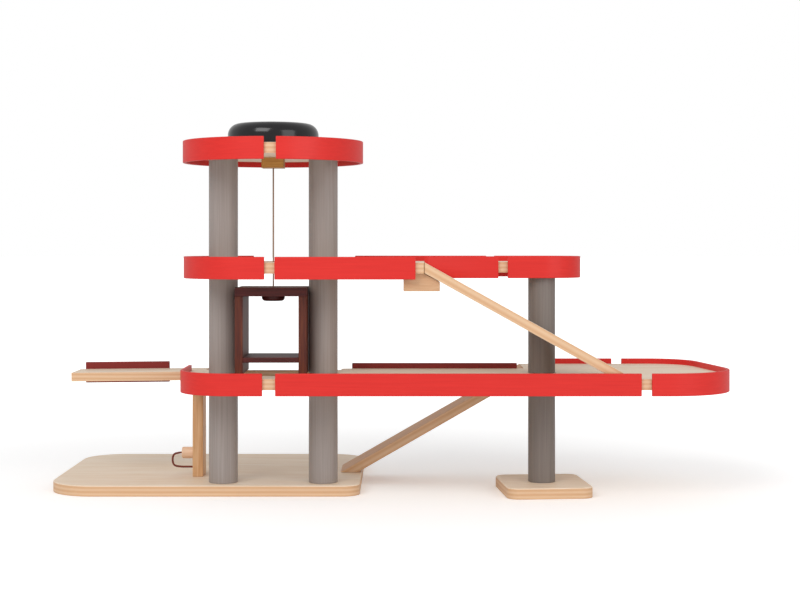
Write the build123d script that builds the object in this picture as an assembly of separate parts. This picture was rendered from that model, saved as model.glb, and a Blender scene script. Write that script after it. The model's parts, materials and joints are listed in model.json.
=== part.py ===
"""Wooden toy parking garage with a hand-wound lift, three levels and two car ramps.

Millimetres, +Z up. The origin is on the lift's axis, at the underside of the base plate.
+X runs towards the long parking end, and +Y runs from the front to the back.
"""
from build123d import *
import math
import os

os.makedirs("parts", exist_ok=True)

# Boards and levels
PLY = 12.5                      # thickness of the base and of every deck
LOWER_STOREY = 115.6            # clear height between base and level one
MIDDLE_STOREY = 118.4
UPPER_STOREY = 122.0
LEVEL_ONE_UNDER = PLY + LOWER_STOREY
LEVEL_ONE_TOP = LEVEL_ONE_UNDER + PLY
MID_UNDER = LEVEL_ONE_TOP + MIDDLE_STOREY
MID_TOP = MID_UNDER + PLY
TOP_UNDER = MID_TOP + UPPER_STOREY
TOP_TOP = TOP_UNDER + PLY

# Bent rims round the decks
RIM_THICK = 4.0
RIM_HIGH = 25.5
RIM_BELOW = 6.5                 # how far a rim hangs under its deck

# Columns and their dowels
COLUMN_R = 17.0
COLUMN_X = 58.7                 # tower columns stand at plus and minus this
OUTER_COLUMN_R = 15.9
OUTER_COLUMN_X = 316.0
OUTER_COLUMN_Y = 5.0
COLUMN_CHAMFER = 0.6
DOWEL_R = 5.0
DOWEL_IN_COLUMN = 15.0          # how deep a dowel sits in a column
DOWEL_IN_PLY = 8.0              # how deep it sits in a deck that it does not pass
DOWEL_GAP = 0.05
DOWEL_END_GAP = 0.5

# Base plate: left, right, front, back and the four corner radii
BASE_LEFT = -263.0
BASE_RIGHT = 102.0
BASE_FRONT = -30.0
BASE_BACK = 252.0
BASE_RADII = (55.0, 20.0, 45.0, 50.0)
FOOT_WIDE = 100.0
FOOT_DEEP = 114.0
FOOT_X = 318.0
FOOT_Y = 8.0
FOOT_TURN = 5.0                 # degrees
FOOT_CORNER = 14.0
BOARD_EDGE = 1.0                # sanded edge of the base boards

# Level one: front edge, tower part, parking part and the wide right end
DECK_FRONT = -86.0
ONE_LEFT = -101.0
ONE_LEFT_R = 58.0
ONE_TOWER_BACK = 46.0
ONE_TOWER_RIGHT = 78.0
ONE_BACK = 69.0
ONE_STEP_X = 300.0
ONE_WIDE_BACK = 146.0
ONE_RIGHT_FRONT = (541.0, 76.0)  # x and radius of the front right corner
ONE_RIGHT_BACK = (507.0, 52.0)   # x and radius of the back right corner
ONE_SMALL_R = 6.0

# Mid level
MID_LEFT = -100.0
MID_BACK = 76.0
MID_LEFT_R = 80.5
CORNER_FLAT = 0.5               # straight edge left between two round corners, on each side
MID_STEP_X = 176.4
MID_STEP_Y = -15.0
MID_RIGHT = 360.0
MID_RIGHT_R = 44.0
STEP_R = 3.0

# Where each rim starts and stops
ONE_FRONT_GAP = (-5.6, 9.0)
ONE_END_GAP = (420.0, 431.6)
ONE_BACK_GAP = (417.0, 429.6)
ONE_BACK_END_START = 318.0
ONE_BACK_RIM = (90.5, 291.6)
MID_FRONT_GAP = (-3.3, 8.2)
MID_FRONT_STOP = 166.4
MID_RAMP_RIM_START = 177.4
MID_END_GAP = (263.6, 274.6)
MID_BACK_RIM = (94.0, 254.4)
MID_BACK_END = 264.2
MID_LEFT_RIM_STOP = -30.0
TOP_GAP = (-2.4, 11.0)
FAR = 700.0                     # past every edge

# Top disc, knob, drum and cord guide
TOP_R = 101.6
KNOB_R = 53.2
KNOB_HIGH = 27.1
KNOB_ROUND = 13.5
KNOB_FOOT_ROUND = 2.0
KNOB_GAP = 0.3
DRUM_R = 9.0
DRUM_FLANGE_R = 11.0
DRUM_FLANGE_THICK = 2.0
DRUM_IN_KNOB = 12.0
DRUM_BORE_R = 11.6
GUIDE_SIDE = 26.0
GUIDE_HIGH = 12.0
CORD_R = 0.85
CORD_HOLE_R = 1.9

# Lift car
LIFT_HALF = 41.3
LIFT_FRONT = -41.0
LIFT_BACK = 36.0
LIFT_SIDE_THICK = 9.2
LIFT_FOOT_Z = 141.6
LIFT_FLOOR_Z = 155.6
LIFT_FLOOR_THICK = 6.0
LIFT_ROOF_Z = 232.0
LIFT_ROOF_THICK = 10.0
SHAFT_GAP_X = 0.7
SHAFT_GAP_Y = 2.0
BUTTON_R = 13.5
BUTTON_THICK = 6.5
BUTTON_ROUND = 4.0
LIFT_EDGE = 0.8

# Ramps and the cleats that carry their upper ends
RAMP_THICK = 10.5
RAMP_GAP = 0.3
LOWER_RAMP_START = 76.0
LOWER_RAMP_Y = (78.0, 144.0)
UPPER_RAMP_END = 412.0
UPPER_RAMP_Y = (-84.0, -20.0)
CLEAT_UNDER = 23.4
CLEAT_OUT = 17.6
CLEAT_HIGH = 20.0
CLEAT_INSET = 5.0

# Bridge on the left, its post and the pump nozzle
BRIDGE_LEFT = -247.0
BRIDGE_THICK = 10.5
BRIDGE_WIDE = 58.0
BRIDGE_DROOP = 0.6              # degrees, left end low
BRIDGE_RIM = (-241.0, -137.0)
POST_RIGHT = -87.7
POST_WIDE = 12.6
POST_FRONT = 41.4
POST_DEEP = 30.0
PEG_R = 6.9
PEG_LONG = 26.0
PEG_OUT = 14.5
PEG_Z = 39.8
PEG_ROUND = 1.5
PEG_Y = POST_FRONT + POST_DEEP / 2
HOSE_R = 1.2
HOSE_BEND = 8.6
HOSE_STRAIGHT = 3.0

# Screws up through the base
SCREW_R = 2.0
SCREW_HEAD_R = 4.2
SCREW_HEAD_HIGH = 2.4
SCREW_LONG = 34.0
SCREW_GAP = 0.1


def corner_arc(before, corner, after, radius):
    """The two tangent points and the middle of the arc that rounds one corner."""
    back = Vector(before[0] - corner[0], before[1] - corner[1]).normalized()
    ahead = Vector(after[0] - corner[0], after[1] - corner[1]).normalized()
    half = math.radians(back.get_angle(ahead)) / 2
    reach = radius / math.tan(half)
    bisector = (back + ahead).normalized()
    here = Vector(corner[0], corner[1])
    middle = here + bisector * (radius / math.sin(half) - radius)
    return here + back * reach, middle, here + ahead * reach


def rounded_face(corners):
    """A face from (x, y, radius) corners, given anticlockwise."""
    points = [(x, y) for x, y, _ in corners]
    arcs = []
    for index, (_, _, radius) in enumerate(corners):
        before = points[index - 1]
        after = points[(index + 1) % len(points)]
        arcs.append(corner_arc(before, points[index], after, radius))
    edges = []
    for index, (start, middle, end) in enumerate(arcs):
        edges.append(ThreePointArc(start, middle, end).edge())
        following = arcs[(index + 1) % len(arcs)][0]
        if (following - end).length > 0.01:
            edges.append(Line(end, following).edge())
    return make_face(Wire(edges))


def raised(face, bottom, height):
    """A face pulled straight up from the level called bottom."""
    return Pos(0, 0, bottom) * extrude(face, amount=height)


def rod(radius, x, y, bottom, height):
    """A vertical round rod."""
    return Pos(x, y, bottom) * Cylinder(radius, height, align=(Align.CENTER, Align.CENTER, Align.MIN))


def block(x_range, y_range, z_range):
    """A box between three pairs of limits."""
    size = [high - low for low, high in (x_range, y_range, z_range)]
    middle = [(high + low) / 2 for low, high in (x_range, y_range, z_range)]
    return Pos(*middle) * Box(*size)


def ring(face):
    """The strip of a rim's thickness that runs round a deck's edge."""
    return offset(face, amount=RIM_THICK, kind=Kind.ARC) - face


def window(x_range, y_range):
    """A flat rectangle that picks one stretch of a ring."""
    width = x_range[1] - x_range[0]
    depth = y_range[1] - y_range[0]
    place = Pos((x_range[0] + x_range[1]) / 2, (y_range[0] + y_range[1]) / 2)
    return place * Rectangle(width, depth)


def rim(strip, windows, deck_under):
    """One bent rim, cut from the strip by its windows."""
    picked = strip & windows[0]
    for other in windows[1:]:
        picked = picked + (strip & other)
    return raised(picked, deck_under - RIM_BELOW, RIM_HIGH)


def keep(name, *solids):
    """Write one named sub-part."""
    shape = solids[0] if len(solids) == 1 else Compound(children=list(solids))
    export_step(shape, f"parts/{name}.step")


def solid_of(shape):
    """The one solid in a shape."""
    return shape.solids().sort_by(lambda item: item.volume)[-1]


# Outlines
def base_face():
    """The base plate's outline, with four different corners."""
    front_left, front_right, back_right, back_left = BASE_RADII
    return rounded_face([
        (BASE_LEFT, BASE_FRONT, front_left),
        (BASE_RIGHT, BASE_FRONT, front_right),
        (BASE_RIGHT, BASE_BACK, back_right),
        (BASE_LEFT, BASE_BACK, back_left),
    ])


def level_one_face():
    """Level one's outline: tower part, parking part and the wider right end."""
    return rounded_face([
        (ONE_LEFT, DECK_FRONT, ONE_LEFT_R),
        (ONE_RIGHT_FRONT[0], DECK_FRONT, ONE_RIGHT_FRONT[1]),
        (ONE_RIGHT_BACK[0], ONE_WIDE_BACK, ONE_RIGHT_BACK[1]),
        (ONE_STEP_X, ONE_WIDE_BACK, STEP_R),
        (ONE_STEP_X, ONE_BACK, STEP_R),
        (ONE_TOWER_RIGHT, ONE_BACK, ONE_SMALL_R),
        (ONE_TOWER_RIGHT, ONE_TOWER_BACK, ONE_SMALL_R),
        (ONE_LEFT, ONE_TOWER_BACK, ONE_SMALL_R),
    ])


def mid_face():
    """The mid deck's outline, whose left corners are no rounder than its depth allows."""
    left_r = min(MID_LEFT_R, (MID_BACK - DECK_FRONT) / 2 - CORNER_FLAT)
    return rounded_face([
        (MID_LEFT, DECK_FRONT, left_r),
        (MID_STEP_X, DECK_FRONT, STEP_R),
        (MID_STEP_X, MID_STEP_Y, STEP_R),
        (MID_RIGHT, MID_STEP_Y, MID_RIGHT_R),
        (MID_RIGHT, MID_BACK, MID_RIGHT_R),
        (MID_LEFT, MID_BACK, left_r),
    ])


def shaft_hole(bottom):
    """The opening that the lift car passes through."""
    half = LIFT_HALF + SHAFT_GAP_X
    return block(
        (-half, half),
        (LIFT_FRONT - SHAFT_GAP_Y, LIFT_BACK + SHAFT_GAP_Y),
        (bottom - 1, bottom + PLY + 1),
    )


TOWER_COLUMNS = {"left": -COLUMN_X, "right": COLUMN_X}


def dowel_hole(x, y, middle, reach):
    """The hole for a dowel, centred at a height."""
    return rod(DOWEL_R + DOWEL_GAP, x, y, middle - reach, 2 * reach)


def column(radius, x, y, bottom, height, foot_screw, foot_dowel, head_dowel):
    """One length of column, with the sockets that its ends need."""
    body = rod(radius, x, y, bottom, height)
    body = chamfer(body.edges().filter_by(GeomType.CIRCLE), COLUMN_CHAMFER)
    socket = DOWEL_IN_COLUMN + DOWEL_END_GAP
    if foot_dowel:
        body = body - rod(DOWEL_R + DOWEL_GAP, x, y, bottom - 1, socket + 1)
    if head_dowel:
        body = body - rod(DOWEL_R + DOWEL_GAP, x, y, bottom + height - socket, socket + 1)
    if foot_screw:
        body = body - rod(SCREW_R + SCREW_GAP, x, y, bottom - 1, SCREW_LONG - PLY + 2)
    return solid_of(body)


def screw(x, y):
    """A countersunk screw that comes up from the base's underside."""
    shank = rod(SCREW_R, x, y, SCREW_HEAD_HIGH, SCREW_LONG - SCREW_HEAD_HIGH)
    head = Pos(x, y, SCREW_HEAD_HIGH / 2) * Cone(SCREW_HEAD_R, SCREW_R, SCREW_HEAD_HIGH)
    slot = Pos(x, y, 0) * Box(2 * SCREW_HEAD_R, 1.0, 1.6)
    return solid_of(Pos(0, 0, SCREW_GAP) * (shank + head - slot))


def screw_hole(x, y):
    """The countersunk hole for one screw."""
    shank = rod(SCREW_R + SCREW_GAP, x, y, -1, PLY + 2)
    head = Pos(x, y, SCREW_HEAD_HIGH / 2) * Cone(
        SCREW_HEAD_R + 2 * SCREW_GAP, SCREW_R + 2 * SCREW_GAP, SCREW_HEAD_HIGH)
    return shank + head


POST_X = POST_RIGHT - POST_WIDE / 2


def make_base():
    """The base plate and the separate foot under the outer column."""
    places = [(-COLUMN_X, 0), (COLUMN_X, 0), (POST_X, PEG_Y)]
    plate = raised(base_face(), 0, PLY)
    plate = chamfer(plate.faces().sort_by(Axis.Z)[-1].outer_wire().edges(), BOARD_EDGE)
    for x, y in places:
        plate = plate - screw_hole(x, y)
    keep("base_plate", solid_of(plate))
    outline = RectangleRounded(FOOT_WIDE, FOOT_DEEP, FOOT_CORNER)
    foot = raised(Pos(FOOT_X, FOOT_Y) * Rot(0, 0, FOOT_TURN) * outline, 0, PLY)
    foot = chamfer(foot.faces().sort_by(Axis.Z)[-1].outer_wire().edges(), BOARD_EDGE)
    foot = foot - screw_hole(OUTER_COLUMN_X, OUTER_COLUMN_Y)
    keep("outer_foot", solid_of(foot))
    places.append((OUTER_COLUMN_X, OUTER_COLUMN_Y))
    keep("base_screws", *[screw(x, y) for x, y in places])


def make_columns():
    """Three lengths for each tower column and two for the outer one."""
    for side, x in TOWER_COLUMNS.items():
        keep(f"tower_column_{side}_lower",
             column(COLUMN_R, x, 0, PLY, LOWER_STOREY, True, False, True))
        keep(f"tower_column_{side}_middle",
             column(COLUMN_R, x, 0, LEVEL_ONE_TOP, MIDDLE_STOREY, False, True, True))
        keep(f"tower_column_{side}_upper",
             column(COLUMN_R, x, 0, MID_TOP, UPPER_STOREY, False, True, True))
    place = (OUTER_COLUMN_X, OUTER_COLUMN_Y)
    keep("outer_column_lower",
         column(OUTER_COLUMN_R, *place, PLY, LOWER_STOREY, True, False, True))
    keep("outer_column_upper",
         column(OUTER_COLUMN_R, *place, LEVEL_ONE_TOP, MIDDLE_STOREY, False, True, True))


def make_dowels():
    """Dowels that join the column lengths through the decks."""
    tower = [(-COLUMN_X, 0), (COLUMN_X, 0)]
    outer = (OUTER_COLUMN_X, OUTER_COLUMN_Y)
    through = PLY + 2 * DOWEL_IN_COLUMN
    blind = DOWEL_IN_COLUMN + DOWEL_IN_PLY
    keep("level_one_dowels",
         *[rod(DOWEL_R, x, y, LEVEL_ONE_UNDER - DOWEL_IN_COLUMN, through) for x, y in tower + [outer]])
    keep("mid_dowels",
         *[rod(DOWEL_R, x, y, MID_UNDER - DOWEL_IN_COLUMN, through) for x, y in tower],
         rod(DOWEL_R, *outer, MID_UNDER - DOWEL_IN_COLUMN, blind))
    keep("top_dowels",
         *[rod(DOWEL_R, x, y, TOP_UNDER - DOWEL_IN_COLUMN, blind) for x, y in tower])


def make_level_one():
    """The long deck with its five rims."""
    face = level_one_face()
    deck = raised(face, LEVEL_ONE_UNDER, PLY) - shaft_hole(LEVEL_ONE_UNDER)
    for x, y in ((-COLUMN_X, 0), (COLUMN_X, 0), (OUTER_COLUMN_X, OUTER_COLUMN_Y)):
        deck = deck - dowel_hole(x, y, LEVEL_ONE_UNDER + PLY / 2, PLY)
    keep("level_one_deck", solid_of(deck))
    strip = ring(face)
    middle_y = (DECK_FRONT + ONE_TOWER_BACK) / 2
    pieces = {
        "left": [window((-FAR, ONE_FRONT_GAP[0]), (-FAR, middle_y)),
                 window((-FAR, ONE_LEFT), (middle_y, ONE_TOWER_BACK - ONE_SMALL_R))],
        "front": [window((ONE_FRONT_GAP[1], ONE_END_GAP[0]), (-FAR, middle_y))],
        "end": [window((ONE_END_GAP[1], FAR), (-FAR, middle_y)),
                window((ONE_BACK_GAP[1], FAR), (middle_y, FAR))],
        "back_end": [window((ONE_BACK_END_START, ONE_BACK_GAP[0]), (ONE_WIDE_BACK - 1, FAR))],
        "back": [window(ONE_BACK_RIM, (ONE_BACK - 1, ONE_BACK + RIM_THICK + 1))],
    }
    for name, windows in pieces.items():
        keep(f"level_one_rim_{name}", solid_of(rim(strip, windows, LEVEL_ONE_UNDER)))


def make_mid():
    """The middle deck with its five rims."""
    face = mid_face()
    deck = raised(face, MID_UNDER, PLY) - shaft_hole(MID_UNDER)
    for x in (-COLUMN_X, COLUMN_X):
        deck = deck - dowel_hole(x, 0, MID_UNDER + PLY / 2, PLY)
    deck = deck - rod(DOWEL_R + DOWEL_GAP, OUTER_COLUMN_X, OUTER_COLUMN_Y,
                      MID_UNDER - 1, 1 + DOWEL_IN_PLY + DOWEL_END_GAP)
    keep("mid_deck", solid_of(deck))
    strip = ring(face)
    middle_y = (DECK_FRONT + MID_BACK) / 2
    end_middle = (MID_STEP_Y + MID_BACK) / 2
    front_side = (MID_STEP_Y - RIM_THICK - 1, end_middle)
    pieces = {
        "left": [window((-FAR, MID_FRONT_GAP[0]), (-FAR, middle_y)),
                 window((-FAR, MID_LEFT_RIM_STOP), (middle_y, FAR))],
        "front": [window((MID_FRONT_GAP[1], MID_FRONT_STOP), (-FAR, DECK_FRONT + 1))],
        "ramp_side": [window((MID_RAMP_RIM_START, MID_END_GAP[0]), front_side)],
        "end": [window((MID_END_GAP[1], FAR), front_side),
                window((MID_BACK_END, FAR), (end_middle, FAR))],
        "back": [window(MID_BACK_RIM, (MID_BACK - 1, FAR))],
    }
    for name, windows in pieces.items():
        keep(f"mid_rim_{name}", solid_of(rim(strip, windows, MID_UNDER)))


def make_top():
    """The round top deck, its rim, the knob with its drum, and the cord guide."""
    face = make_face(Circle(TOP_R).edges())
    deck = raised(face, TOP_UNDER, PLY) - rod(DRUM_BORE_R, 0, 0, TOP_UNDER - 1, PLY + 2)
    for x in (-COLUMN_X, COLUMN_X):
        deck = deck - rod(DOWEL_R + DOWEL_GAP, x, 0, TOP_UNDER - 1, 1 + DOWEL_IN_PLY + DOWEL_END_GAP)
    keep("top_deck", solid_of(deck))
    gap = window(TOP_GAP, (-FAR, 0))
    keep("top_rim", solid_of(raised(ring(face) - gap, TOP_UNDER - RIM_BELOW, RIM_HIGH)))

    knob_bottom = TOP_TOP + KNOB_GAP
    knob = rod(KNOB_R, 0, 0, knob_bottom, KNOB_HIGH)
    knob = fillet(knob.edges().group_by(Axis.Z)[-1], KNOB_ROUND)
    knob = fillet(knob.faces().sort_by(Axis.Z)[0].edges(), KNOB_FOOT_ROUND)
    knob = knob - rod(DRUM_R + DOWEL_GAP, 0, 0, knob_bottom - 1, DRUM_IN_KNOB + 1)
    keep("winding_knob", solid_of(knob))
    drum_bottom = TOP_UNDER + KNOB_GAP
    drum = rod(DRUM_R, 0, 0, drum_bottom, knob_bottom + DRUM_IN_KNOB - DOWEL_END_GAP - drum_bottom)
    drum = drum + rod(DRUM_FLANGE_R, 0, 0, drum_bottom, DRUM_FLANGE_THICK)
    keep("winding_drum", solid_of(drum))

    half = GUIDE_SIDE / 2
    guide = block((-half, half), (-half, half), (TOP_UNDER - GUIDE_HIGH, TOP_UNDER))
    guide = chamfer(guide.edges().filter_by(Axis.Z), BOARD_EDGE)
    guide = guide - rod(CORD_HOLE_R, 0, 0, TOP_UNDER - GUIDE_HIGH - 1, GUIDE_HIGH + 2)
    keep("cord_guide", solid_of(guide))


def make_lift():
    """The lift car, open at the front and the back, with its cord."""
    roof_x = (-LIFT_HALF, LIFT_HALF)
    depth = (LIFT_FRONT, LIFT_BACK)
    roof = block(roof_x, depth, (LIFT_ROOF_Z, LIFT_ROOF_Z + LIFT_ROOF_THICK))
    roof = chamfer(roof.edges().filter_by(Axis.Y).group_by(Axis.Z)[-1], LIFT_EDGE)
    roof = roof - rod(CORD_HOLE_R, 0, 0, LIFT_ROOF_Z - 1, LIFT_ROOF_THICK + 2)
    keep("lift_roof", solid_of(roof))
    inside = LIFT_HALF - LIFT_SIDE_THICK
    for side, x_range in (("left", (-LIFT_HALF, -inside)), ("right", (inside, LIFT_HALF))):
        board = block(x_range, depth, (LIFT_FOOT_Z, LIFT_ROOF_Z))
        board = chamfer(board.edges().filter_by(Axis.Y).group_by(Axis.Z)[0], LIFT_EDGE)
        keep(f"lift_side_{side}", solid_of(board))
    floor = block((-inside, inside), depth, (LIFT_FLOOR_Z, LIFT_FLOOR_Z + LIFT_FLOOR_THICK))
    keep("lift_floor", solid_of(floor))
    button = rod(BUTTON_R, 0, 0, LIFT_ROOF_Z - BUTTON_THICK, BUTTON_THICK)
    button = fillet(button.edges().group_by(Axis.Z)[0], BUTTON_ROUND)
    keep("cord_button", solid_of(button))
    keep("hoist_cord", rod(CORD_R, 0, 0, LIFT_ROOF_Z, TOP_UNDER + KNOB_GAP - LIFT_ROOF_Z))


def ramp(start, end, low, high, y_range):
    """A sloping board: low end cut flat on its floor, high end cut upright."""
    run = end - start
    slope = math.atan2(high - low, abs(run))
    upright = RAMP_THICK / math.cos(slope)
    back = math.copysign(upright / math.tan(slope), run)
    side = Polyline((start, low), (start + back, low), (end, high - upright), (end, high), close=True)
    face = make_face(Plane.XZ * Wire(side.edges()))
    width = y_range[1] - y_range[0]
    board = extrude(face, amount=width, dir=(0, 1, 0))
    return solid_of(Pos(0, y_range[0], 0) * board)


def cleat(edge, away, deck_under, slope, y_range):
    """The block under a deck's edge whose sloped end carries a ramp."""
    upright = RAMP_THICK / math.cos(slope)
    top = min(deck_under, deck_under + PLY - upright - RAMP_GAP)
    drop = math.tan(slope)
    tip = edge + away * CLEAT_OUT
    seat = deck_under + PLY - upright - RAMP_GAP
    side = Polyline(
        (edge - away * CLEAT_UNDER, deck_under),
        (edge, deck_under),
        (edge + away * RAMP_GAP, top),
        (tip, seat - drop * CLEAT_OUT),
        (tip, deck_under - CLEAT_HIGH),
        (edge - away * CLEAT_UNDER, deck_under - CLEAT_HIGH),
        close=True,
    )
    face = make_face(Plane.XZ * Wire(side.edges()))
    low, high = y_range[0] + CLEAT_INSET, y_range[1] - CLEAT_INSET
    return solid_of(Pos(0, low, 0) * extrude(face, amount=high - low, dir=(0, 1, 0)))


def make_ramps():
    """Both ramps, from the base to level one and from level one to the mid level."""
    lower_end = ONE_STEP_X - RAMP_GAP
    lower_slope = math.atan2(LEVEL_ONE_TOP - PLY, lower_end - LOWER_RAMP_START)
    keep("lower_ramp", ramp(LOWER_RAMP_START, lower_end, PLY, LEVEL_ONE_TOP, LOWER_RAMP_Y))
    keep("lower_ramp_cleat", cleat(ONE_STEP_X, -1, LEVEL_ONE_UNDER, lower_slope, LOWER_RAMP_Y))
    upper_start = MID_STEP_X + RAMP_GAP
    upper_slope = math.atan2(MID_TOP - LEVEL_ONE_TOP, UPPER_RAMP_END - upper_start)
    keep("upper_ramp", ramp(UPPER_RAMP_END, upper_start, LEVEL_ONE_TOP, MID_TOP, UPPER_RAMP_Y))
    keep("upper_ramp_cleat", cleat(MID_STEP_X, 1, MID_UNDER, upper_slope, UPPER_RAMP_Y))


def make_bridge():
    """The short bridge on the left, its back rim, its post and the pump nozzle."""
    front = ONE_TOWER_BACK + RAMP_GAP
    back = front + BRIDGE_WIDE
    under = LEVEL_ONE_UNDER
    post_left = POST_RIGHT - POST_WIDE
    turn = Pos(post_left, 0, under) * Rot(0, -BRIDGE_DROOP, 0) * Pos(-post_left, 0, -under)
    board = block((BRIDGE_LEFT, post_left), (front, back), (under, under + BRIDGE_THICK))
    seat = block((post_left - 1, POST_RIGHT), (front, back), (under, under + BRIDGE_THICK))
    keep("bridge_board", solid_of(turn * board + seat))
    edge = block(BRIDGE_RIM, (back, back + RIM_THICK), (under - RIM_BELOW, under - RIM_BELOW + RIM_HIGH))
    keep("bridge_rim", solid_of(turn * edge))
    post = block((post_left, POST_RIGHT), (POST_FRONT, POST_FRONT + POST_DEEP), (PLY, under))
    axis = Plane(origin=(post_left - PEG_OUT, PEG_Y, PEG_Z), z_dir=(1, 0, 0))
    at_middle = (Align.CENTER, Align.CENTER, Align.MIN)
    peg = axis * Cylinder(PEG_R, PEG_OUT, align=at_middle)
    peg = fillet(peg.edges().group_by(Axis.X)[0], PEG_ROUND)
    spigot_r = PEG_R / 2
    spigot = axis * Pos(0, 0, PEG_OUT) * Cylinder(spigot_r, PEG_LONG - PEG_OUT - 2, align=at_middle)
    socket = axis * Pos(0, 0, PEG_OUT) * Cylinder(spigot_r + DOWEL_GAP, PEG_LONG - PEG_OUT, align=at_middle)
    hose_z = PEG_Z - 2 * HOSE_BEND
    screw_pilot = rod(SCREW_R + SCREW_GAP, POST_X, PEG_Y, PLY - 1, SCREW_LONG - PLY + 2)
    keep("bridge_post", solid_of(post - socket - screw_pilot))
    keep("nozzle_peg", solid_of(peg + spigot))
    start = post_left - PEG_OUT
    path = Wire([
        Line((start, PEG_Y, PEG_Z), (start - HOSE_STRAIGHT, PEG_Y, PEG_Z)).edge(),
        ThreePointArc((start - HOSE_STRAIGHT, PEG_Y, PEG_Z),
                      (start - HOSE_STRAIGHT - HOSE_BEND, PEG_Y, PEG_Z - HOSE_BEND),
                      (start - HOSE_STRAIGHT, PEG_Y, hose_z)).edge(),
        Line((start - HOSE_STRAIGHT, PEG_Y, hose_z), (post_left, PEG_Y, hose_z)).edge(),
    ])
    section = Plane(origin=(start, PEG_Y, PEG_Z), z_dir=(-1, 0, 0)) * Circle(HOSE_R)
    hose = sweep(section, path=path)
    length = path.length
    area = math.pi * HOSE_R ** 2
    print("hose volume", round(hose.volume, 2), "against", round(area * length, 2), "bend", HOSE_BEND)
    keep("nozzle_hose", solid_of(hose))


make_base()
make_columns()
make_dowels()
make_level_one()
make_mid()
make_top()
make_lift()
make_ramps()
make_bridge()
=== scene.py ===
"""A wooden toy parking garage: red bent rims, grey columns, pale decks and a stained lift car."""
import json
import math

import bmesh
import bpy
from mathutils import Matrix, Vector


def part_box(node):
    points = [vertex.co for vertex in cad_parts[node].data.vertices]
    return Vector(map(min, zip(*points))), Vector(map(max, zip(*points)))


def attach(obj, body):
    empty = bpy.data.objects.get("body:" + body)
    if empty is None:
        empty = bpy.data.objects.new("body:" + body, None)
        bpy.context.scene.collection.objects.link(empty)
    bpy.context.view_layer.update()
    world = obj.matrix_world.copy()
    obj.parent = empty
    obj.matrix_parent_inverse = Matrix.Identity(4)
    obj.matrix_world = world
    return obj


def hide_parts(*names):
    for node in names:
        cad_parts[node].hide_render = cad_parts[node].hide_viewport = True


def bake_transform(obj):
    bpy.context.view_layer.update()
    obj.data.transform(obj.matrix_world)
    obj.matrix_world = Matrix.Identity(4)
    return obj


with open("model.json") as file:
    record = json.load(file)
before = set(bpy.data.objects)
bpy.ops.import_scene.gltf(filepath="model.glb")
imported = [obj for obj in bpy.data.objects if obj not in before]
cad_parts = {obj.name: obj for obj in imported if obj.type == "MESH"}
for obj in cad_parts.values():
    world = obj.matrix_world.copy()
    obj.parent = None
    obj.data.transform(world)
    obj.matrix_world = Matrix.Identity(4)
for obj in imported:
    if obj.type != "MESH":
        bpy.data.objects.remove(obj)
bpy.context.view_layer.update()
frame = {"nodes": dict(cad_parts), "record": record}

MM = 0.001
RAMP_SLOPE = 29.4               # degrees, both ramps
HALF_PI = math.pi / 2


# ---------------------------------------------------------------- materials
def linear(code):
    """An sRGB hex colour as the linear colour that nodes take."""
    values = [int(code[i:i + 2], 16) / 255 for i in (0, 2, 4)]
    return [v / 12.92 if v <= 0.04045 else ((v + 0.055) / 1.055) ** 2.4 for v in values] + [1.0]


def add(tree, kind, settings=None, inputs=None):
    """One node with its settings, and its inputs as values or as sockets to link."""
    made = tree.nodes.new(kind)
    for name, value in (settings or {}).items():
        setattr(made, name, value)
    for key, value in (inputs or {}).items():
        if isinstance(value, bpy.types.NodeSocket):
            tree.links.new(value, made.inputs[key])
        else:
            made.inputs[key].default_value = value
    return made


def start_material(name):
    """An empty material, its tree, its shader and its texture coordinates."""
    material = bpy.data.materials.new(name)
    material.use_nodes = True
    tree = material.node_tree
    tree.nodes.clear()
    shader = add(tree, "ShaderNodeBsdfPrincipled")
    add(tree, "ShaderNodeOutputMaterial", inputs={"Surface": shader.outputs["BSDF"]})
    place = add(tree, "ShaderNodeTexCoord")
    return material, tree, shader, place


def ramp_between(tree, factor, stops):
    """A colour ramp through (position, hex) stops."""
    ramp = add(tree, "ShaderNodeValToRGB", inputs={"Fac": factor})
    elements = ramp.color_ramp.elements
    elements[0].position, elements[0].color = stops[0][0], linear(stops[0][1])
    elements[1].position, elements[1].color = stops[-1][0], linear(stops[-1][1])
    for position, code in stops[1:-1]:
        elements.new(position).color = linear(code)
    return ramp.outputs["Color"]


def stretched_noise(tree, place, sizes_mm, detail=6.0, turn=(0, 0, 0)):
    """Noise whose features measure sizes_mm along X, Y and Z, turned in degrees."""
    # Texture mapping stretches the pattern along its own axes and then turns it.
    mapping = add(tree, "ShaderNodeMapping", {"vector_type": "TEXTURE"}, {
        "Vector": place.outputs["Object"],
        "Rotation": [math.radians(angle) for angle in turn],
        "Scale": [size * MM for size in sizes_mm],
    })
    noise = add(tree, "ShaderNodeTexNoise", inputs={
        "Vector": mapping.outputs["Vector"], "Scale": 1.0, "Detail": detail, "Roughness": 0.6})
    return noise.outputs["Fac"]


def give_bump(tree, shader, height, strength, distance_mm):
    """Small relief on the surface, distance_mm deep where the strength is 1."""
    bump = add(tree, "ShaderNodeBump", inputs={
        "Height": height, "Strength": strength, "Distance": distance_mm * MM})
    tree.links.new(bump.outputs["Normal"], shader.inputs["Normal"])


FACE_GRAIN_MM = (70, 1.6, 1.6)  # length and width of the grain on a plywood face
FACE_CLOUD_MM = (140, 30, 30)   # the broader change of tone under it
CLOUD_SHARE = 0.35
PLY_WAVER = 0.35                # how far the grain breaks up the plies on an edge
LEVEL_FACE = 0.6                # a normal that stands this far up or down belongs to a face, not an edge


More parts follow.
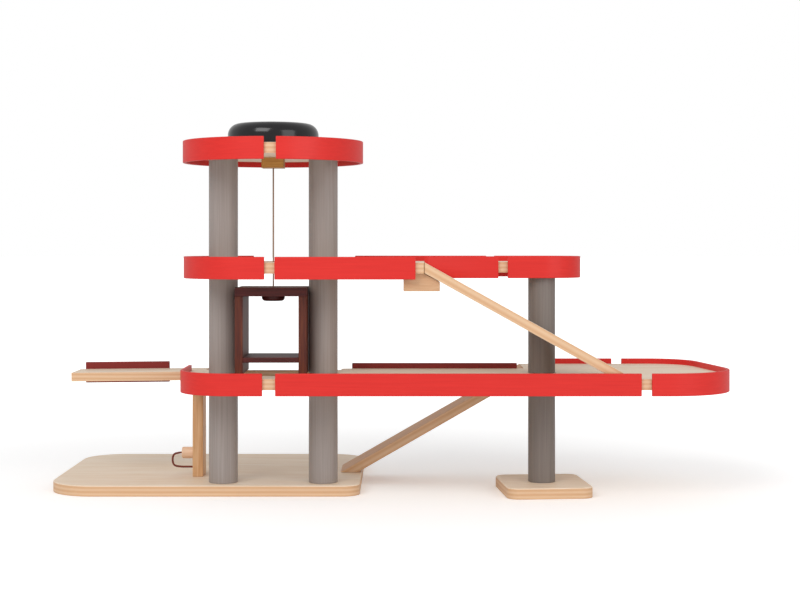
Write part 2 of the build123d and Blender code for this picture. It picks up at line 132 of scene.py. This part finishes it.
def sanded_plywood(name, turn_y=0.0, ply_mm=2.5, tone=("E0C6A6", "EAD5BC", "F2E4D2")):
    """Sanded rubberwood plywood under clear lacquer: long fine grain on the face, plies on the edge."""
    material, tree, shader, place = start_material(name)
    grain = stretched_noise(tree, place, FACE_GRAIN_MM, turn=(0, turn_y, 0))
    clouds = stretched_noise(tree, place, FACE_CLOUD_MM, detail=2.0, turn=(0, turn_y, 0))
    clouds = add(tree, "ShaderNodeMath", {"operation": "MULTIPLY"}, {0: clouds, 1: CLOUD_SHARE})
    both = add(tree, "ShaderNodeMath", {"operation": "ADD"}, {0: clouds.outputs[0], 1: grain})
    face = ramp_between(tree, both.outputs[0], [(0.42, tone[0]), (0.66, tone[1]), (0.85, tone[2])])
    turned = add(tree, "ShaderNodeMapping", {"vector_type": "TEXTURE"}, {
        "Vector": place.outputs["Object"], "Rotation": (0, math.radians(turn_y), 0),
        "Scale": (1, 1, 2 * ply_mm * MM)})
    height = add(tree, "ShaderNodeSeparateXYZ", inputs={"Vector": turned.outputs["Vector"]})
    layer = add(tree, "ShaderNodeMath", {"operation": "PINGPONG"}, {0: height.outputs["Z"], 1: 0.5})
    layer = add(tree, "ShaderNodeMath", {"operation": "MULTIPLY_ADD"}, {
        0: grain, 1: PLY_WAVER, 2: layer.outputs[0]})
    edge = ramp_between(tree, layer.outputs[0], [(0.25, "D3A77E"), (0.42, "DBB28B"), (0.62, "E0BC97")])
    normal = add(tree, "ShaderNodeSeparateXYZ", inputs={"Vector": place.outputs["Normal"]})
    flat = add(tree, "ShaderNodeMath", {"operation": "ABSOLUTE"}, {0: normal.outputs["Z"]})
    pick = add(tree, "ShaderNodeMath", {"operation": "GREATER_THAN"}, {0: flat.outputs[0], 1: LEVEL_FACE})
    mix = add(tree, "ShaderNodeMix", {"data_type": "RGBA"}, {0: pick.outputs[0], 6: edge, 7: face})
    tree.links.new(mix.outputs[2], shader.inputs["Base Color"])
    shader.inputs["Roughness"].default_value = 0.5
    give_bump(tree, shader, grain, 0.25, 0.15)
    return material


def solid_wood(name, sizes_mm, stops, roughness=0.45, bump=0.25, coat=0.0):
    """Planed wood or lacquer over wood: grain streaks of a given length and width."""
    material, tree, shader, place = start_material(name)
    grain = stretched_noise(tree, place, sizes_mm)
    tree.links.new(ramp_between(tree, grain, stops), shader.inputs["Base Color"])
    shader.inputs["Roughness"].default_value = roughness
    shader.inputs["Coat Weight"].default_value = coat
    shader.inputs["Specular IOR Level"].default_value = 0.35
    shader.inputs["Coat Roughness"].default_value = 0.2
    give_bump(tree, shader, grain, bump, 0.12)
    return material


STRAND_SLANT = 35               # degrees
WAVE_BAND = 0.314               # metres from band to band in a wave texture whose scale is 1


def twisted_cord(name, stops, twist_mm):
    """Twisted cotton cord: slanting strands that alternate light and dark."""
    material, tree, shader, place = start_material(name)
    mapping = add(tree, "ShaderNodeMapping", inputs={
        "Vector": place.outputs["Object"], "Rotation": (0, math.radians(STRAND_SLANT), 0)})
    wave = add(tree, "ShaderNodeTexWave", {"bands_direction": "Z"}, {
        "Vector": mapping.outputs["Vector"], "Scale": WAVE_BAND / (twist_mm * MM), "Distortion": 1.0,
        "Detail": 2.0, "Detail Scale": 2.0})
    tree.links.new(ramp_between(tree, wave.outputs["Fac"], stops), shader.inputs["Base Color"])
    shader.inputs["Roughness"].default_value = 0.85
    give_bump(tree, shader, wave.outputs["Fac"], 0.6, 0.2)
    return material


LACQUER_STREAK_MM = (1.8, 1.8, 120)     # faint streaks down a lacquered column
STRIP_GRAIN_MM = (60, 8, 2.0)           # the bent strip's grain under its lacquer

FINISHES = {
    # Sanded plywood under clear lacquer: pale faces and thin plies. The lower ramp's is darker.
    "plywood": sanded_plywood("sanded plywood"),
    "lower_ramp_board": sanded_plywood(
        "lower ramp board", -RAMP_SLOPE, 3.6, ("BB8459", "CD9A6C", "D9AC82")),
    "upper_ramp_board": sanded_plywood("upper ramp board", RAMP_SLOPE, 3.6),
    # Planed rubberwood: pale, with short fine grain.
    "pale_wood": solid_wood("pale rubberwood", (30, 1.5, 1.5), [(0.3, "E2B998"), (0.7, "F0D2B6")]),
    # Planed beech: warmer than the boards, with its grain up the post and left to right on the cleats.
    "post_wood": solid_wood(
        "beech post", (2.2, 2.2, 60), [(0.3, "C78F5E"), (0.55, "DCAE80"), (0.75, "EAC8A0")]),
    "cleat_wood": solid_wood("beech cleat", (18, 2, 1.4), [(0.3, "C59770"), (0.7, "D4AC88")]),
    # Oil on planed wood: a deep golden tone.
    "golden_wood": solid_wood("oiled guide block", (30, 2, 1.2), [(0.3, "A87434"), (0.7, "C99349")]),
    # Grey lacquer on turned wood: nearly plain, with long faint streaks down the column.
    "grey_paint": solid_wood(
        "grey lacquer", LACQUER_STREAK_MM, [(0.3, "918782"), (0.7, "9F9691")], 0.42, 0.08),
    # The outer column: the tower's grey made darker as painted shade from the decks over it, with the
    # same streaks.
    "shaded_grey_paint": solid_wood(
        "grey lacquer with painted shade", LACQUER_STREAK_MM, [(0.3, "746B66"), (0.7, "817872")], 0.42, 0.08),
    # Red lacquer on bent strip: a smooth skin, with the strip's grain just felt through it.
    "red_paint": solid_wood(
        "red lacquer", STRIP_GRAIN_MM, [(0.25, "D1201A"), (0.75, "DC2820")], 0.45, 0.05, 0.05),
    # Two rims at the back: the red made darker as painted shade on their inner faces, which face the
    # camera and lie in shade.
    "shaded_red_paint": solid_wood(
        "red lacquer with painted shade", STRIP_GRAIN_MM, [(0.25, "7E221E"), (0.75, "8E2823")], 0.5, 0.05),
    # Stain on planed boards: a dark red brown with lighter grain.
    "brown_lacquer": solid_wood(
        "stained lift board", (2, 2.5, 45), [(0.28, "43150F"), (0.5, "5C2717"), (0.75, "6F391F")], 0.5),
    "roof_stain": solid_wood("stained roof board", (45, 2.5, 2), [(0.3, "3F1210"), (0.7, "571D19")], 0.5),
    # Black lacquer, sprayed thick on turned wood: almost no texture and a sharp highlight.
    "black_lacquer": solid_wood(
        "black gloss lacquer", (9, 9, 9), [(0.3, "101012"), (0.7, "17171A")], 0.16, 0.03, 0.25),
    # Zinc plating on the screws under the base: plain light grey, with no metallic value.
    "zinc": solid_wood("zinc plated screw", (1, 1, 1), [(0.3, "A8A8A6"), (0.7, "BEBEBC")], 0.3, 0.05),
    # Twisted cotton: matte, in slanting strands.
    "pale_cord": twisted_cord("cotton hoist cord", [(0.2, "7C5A45"), (0.8, "B08A6C")], 1.6),
    "red_cord": twisted_cord("rust nozzle cord", [(0.2, "5A241B"), (0.8, "8A4030")], 1.8),
}
# The nodes whose finish isn't the one that their slot is named for.
SPECIAL = {
    "lower_ramp": "lower_ramp_board", "upper_ramp": "upper_ramp_board", "bridge_post": "post_wood",
    "lower_ramp_cleat": "cleat_wood", "upper_ramp_cleat": "cleat_wood", "lift_roof": "roof_stain",
    "lift_floor": "roof_stain", "cord_button": "roof_stain",
    # The outer column takes the grey with painted shade.
    "outer_column_lower": "shaded_grey_paint", "outer_column_upper": "shaded_grey_paint",
    # Two back rims take the red with painted shade.
    "level_one_rim_back": "shaded_red_paint", "bridge_rim": "shaded_red_paint",
}
SLOT_OF = {part["node"]: part["material_slot"] for part in frame["record"]["subparts"]}


def finish_of(node):
    """The material that a node, or the copy that stands for it, shows."""
    return FINISHES[SPECIAL.get(node, SLOT_OF[node])]


# ---------------------------------------------------------------- pieces
EASED_MM = {"red_paint": 0.7, "plywood": 0.6, "brown_lacquer": 0.7}
MERGE_MM = 0.002                # corners of loose triangles nearer than this become one
FLAT_ANGLE = math.radians(0.6)  # triangles that meet flatter than this are one face
EASE_ANGLE = math.radians(40)   # edges sharper than this are sanded
SHARP_ANGLE = math.radians(30)  # edges sharper than this show as an edge


def body_of_node(node):
    """The body that carries a node."""
    groups = frame["record"]["behaviour"]["bodies"]
    return next(body for body, members in groups.items() if node in members)


def eased_copy(node, width_mm):
    """A copy of a board with its edges sanded round, which stands for the plain one."""
    mesh = frame["nodes"][node].data.copy()
    work = bmesh.new()
    work.from_mesh(mesh)
    bmesh.ops.remove_doubles(work, verts=work.verts, dist=MERGE_MM * MM)
    bmesh.ops.dissolve_limit(work, angle_limit=FLAT_ANGLE, verts=work.verts, edges=work.edges)
    work.to_mesh(mesh)
    work.free()
    mesh.materials.clear()
    mesh.materials.append(finish_of(node))
    piece = bpy.data.objects.new("eased_" + node, mesh)
    bpy.context.scene.collection.objects.link(piece)
    bevel = piece.modifiers.new("eased edges", "BEVEL")
    bevel.width = width_mm * MM
    bevel.segments = 2
    bevel.limit_method = "ANGLE"
    bevel.angle_limit = EASE_ANGLE
    for polygon in mesh.polygons:
        polygon.use_smooth = True
    mesh.set_sharp_from_angle(angle=SHARP_ANGLE)
    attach(piece, body_of_node(node))
    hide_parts(node)


def smooth_tube(name, points, radius, material, sides=16):
    """A closed tube of level rings, one round each point, with the points in order up Z."""
    work = bmesh.new()
    rings = []
    for x, y, z in points:
        ring = [work.verts.new((x + radius * math.cos(2 * math.pi * i / sides),
                                y + radius * math.sin(2 * math.pi * i / sides), z)) for i in range(sides)]
        rings.append(ring)
    for low, high in zip(rings, rings[1:]):
        for i in range(sides):
            following = (i + 1) % sides
            work.faces.new((low[i], low[following], high[following], high[i]))
    work.faces.new(list(reversed(rings[0])))
    work.faces.new(rings[-1])
    mesh = bpy.data.meshes.new(name)
    work.to_mesh(mesh)
    work.free()
    mesh.materials.append(material)
    for polygon in mesh.polygons:
        polygon.use_smooth = len(polygon.vertices) == 4
    piece = bpy.data.objects.new(name, mesh)
    bpy.context.scene.collection.objects.link(piece)
    return piece


HOIST_STEPS = 60                # lengths that the hoist cord is divided into, so that it can shorten


def make_hoist_cord():
    """The cord from the drum to the lift car, which shortens as the car rises."""
    low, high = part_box("hoist_cord")
    radius = (high.x - low.x) / 2
    points = [(0, 0, low.z + (high.z - low.z) * i / HOIST_STEPS) for i in range(HOIST_STEPS + 1)]
    cord = smooth_tube("hoist_line", points, radius, FINISHES["pale_cord"])
    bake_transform(cord)
    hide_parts("hoist_cord")


HOSE_DIAMETER = 2.4 * MM
HOSE_LEAD = 3 * MM              # from the peg's end to the guide points left of it
HOSE_CORNER = 2 * MM            # from the top or bottom run to the guide points on the left side


def make_nozzle_hose():
    """The short stiff cord that loops from the pump nozzle back into its post."""
    low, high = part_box("nozzle_hose")
    y = (low.y + high.y) / 2
    radius = HOSE_DIAMETER / 2
    top, bottom = high.z - radius, low.z + radius
    left = low.x + radius
    peg_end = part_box("nozzle_peg")[0].x
    post_face = high.x
    route = [
        (peg_end, y, top),
        (peg_end - HOSE_LEAD, y, top),
        (left, y, top - HOSE_CORNER),
        (left, y, bottom + HOSE_CORNER),
        (peg_end - HOSE_LEAD, y, bottom),
        ((peg_end + post_face) / 2, y, bottom),
        (post_face, y, bottom),
    ]
    curve = bpy.data.curves.new("nozzle_cord", "CURVE")
    curve.dimensions = "3D"
    spline = curve.splines.new("NURBS")
    spline.points.add(len(route) - 1)
    for point, place in zip(spline.points, route):
        point.co = (*place, 1.0)
    spline.order_u = 3
    spline.use_endpoint_u = True
    spline.resolution_u = 12
    curve.bevel_depth = radius
    curve.bevel_resolution = 4
    curve.use_fill_caps = True
    curve.materials.append(FINISHES["red_cord"])
    piece = bpy.data.objects.new("nozzle_cord", curve)
    bpy.context.scene.collection.objects.link(piece)
    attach(piece, "root")
    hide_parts("nozzle_hose")


def dress_nodes():
    """A finish on every node, and a copy with eased edges of each board, rim and lift piece."""
    for node in frame["nodes"]:
        part = frame["nodes"][node]
        part.data.materials.clear()
        part.data.materials.append(finish_of(node))
        width = EASED_MM.get(SLOT_OF[node])
        if width:
            eased_copy(node, width)


# ---------------------------------------------------------------- camera and light
IMAGE_WIDE = 800
FOCAL_PX = 1600
SENSOR_MM = 36
HORIZON_DROP_PX = 57            # the level view is framed this far below its horizon
CAMERA_PLACE = (0.149, -1.882, 0.2935)

LAMP_TARGET = (0.1, 0, 0.2)
LAMP_SIZE = 1.4                 # metres along each side
KEY_PLACE, KEY_WATTS = (-0.9, -1.9, 1.7), 26
FILL_PLACE, FILL_WATTS = (1.6, -1.7, 0.9), 12

FLOOR_REACH = 30.0
FLOOR_DROP = 0.2 * MM           # keeps the floor off the underside of the base
FLOOR_WHITE = (0.93, 0.93, 0.93, 1)
FADE_START, FADE_END = 0.35, 1.6        # metres from the lift's axis, between which the floor whitens
GLOW_NEAR, GLOW_FAR = 0.22, 0.75        # the glow that the camera sees on the floor, near and far
WORLD_SEEN = 1.0                # the world's strength as the camera sees it
WORLD_LIGHT = 0.62              # its strength as light on the toy


def make_camera():
    """A level camera with a falling front, as a product photographer sets it."""
    lens = bpy.data.cameras.new("camera")
    lens.sensor_width = SENSOR_MM
    lens.lens = FOCAL_PX / IMAGE_WIDE * SENSOR_MM
    lens.shift_y = -HORIZON_DROP_PX / IMAGE_WIDE
    camera = bpy.data.objects.new("camera", lens)
    camera.location = CAMERA_PLACE
    camera.rotation_euler = (HALF_PI, 0, 0)
    bpy.context.scene.collection.objects.link(camera)
    bpy.context.scene.camera = camera


def make_lamp(name, place, power):
    """A square soft lamp that faces the toy."""
    lamp = bpy.data.lights.new(name, "AREA")
    lamp.size = LAMP_SIZE
    lamp.energy = power
    holder = bpy.data.objects.new(name, lamp)
    holder.location = place
    holder.rotation_euler = (Vector(LAMP_TARGET) - Vector(place)).to_track_quat("-Z", "Y").to_euler()
    bpy.context.scene.collection.objects.link(holder)


def make_floor():
    """A matte pale floor, which the camera alone sees whiten away from the toy."""
    mesh = bpy.data.meshes.new("floor")
    corners = [(-FLOOR_REACH, -FLOOR_REACH, 0), (FLOOR_REACH, -FLOOR_REACH, 0),
               (FLOOR_REACH, FLOOR_REACH, 0), (-FLOOR_REACH, FLOOR_REACH, 0)]
    mesh.from_pydata(corners, [], [(0, 1, 2, 3)])
    floor = bpy.data.objects.new("floor", mesh)
    floor.location.z = -FLOOR_DROP
    bpy.context.scene.collection.objects.link(floor)
    material, tree, shader, place = start_material("white floor")
    shader.inputs["Base Color"].default_value = FLOOR_WHITE
    shader.inputs["Roughness"].default_value = 0.9
    path = add(tree, "ShaderNodeLightPath")
    distance = add(tree, "ShaderNodeVectorMath", {"operation": "LENGTH"}, {0: place.outputs["Object"]})
    fade = add(tree, "ShaderNodeMapRange", {"interpolation_type": "SMOOTHSTEP"}, {
        "Value": distance.outputs["Value"], "From Min": FADE_START, "From Max": FADE_END,
        "To Min": GLOW_NEAR, "To Max": GLOW_FAR})
    glow = add(tree, "ShaderNodeMath", {"operation": "MULTIPLY"}, {
        0: path.outputs["Is Camera Ray"], 1: fade.outputs["Result"]})
    shader.inputs["Emission Color"].default_value = (1, 1, 1, 1)
    tree.links.new(glow.outputs[0], shader.inputs["Emission Strength"])
    mesh.materials.append(material)


def make_world():
    """A world that is white to the camera and dimmer as light on the toy."""
    world = bpy.data.worlds.new("white studio")
    bpy.context.scene.world = world
    world.use_nodes = True
    tree = world.node_tree
    tree.nodes.clear()
    path = add(tree, "ShaderNodeLightPath")
    seen = add(tree, "ShaderNodeBackground", inputs={"Color": (1, 1, 1, 1), "Strength": WORLD_SEEN})
    light = add(tree, "ShaderNodeBackground", inputs={"Color": (1, 1, 1, 1), "Strength": WORLD_LIGHT})
    mix = add(tree, "ShaderNodeMixShader", inputs={
        0: path.outputs["Is Camera Ray"], 1: light.outputs[0], 2: seen.outputs[0]})
    add(tree, "ShaderNodeOutputWorld", inputs={"Surface": mix.outputs[0]})


def make_studio():
    """A white floor and world, a soft key lamp at the front left and a weaker fill at the front right."""
    bpy.context.scene.view_settings.view_transform = "Standard"
    make_floor()
    make_world()
    make_lamp("key lamp", KEY_PLACE, KEY_WATTS)
    make_lamp("fill lamp", FILL_PLACE, FILL_WATTS)


make_camera()
make_nozzle_hose()
make_hoist_cord()
dress_nodes()
make_studio()
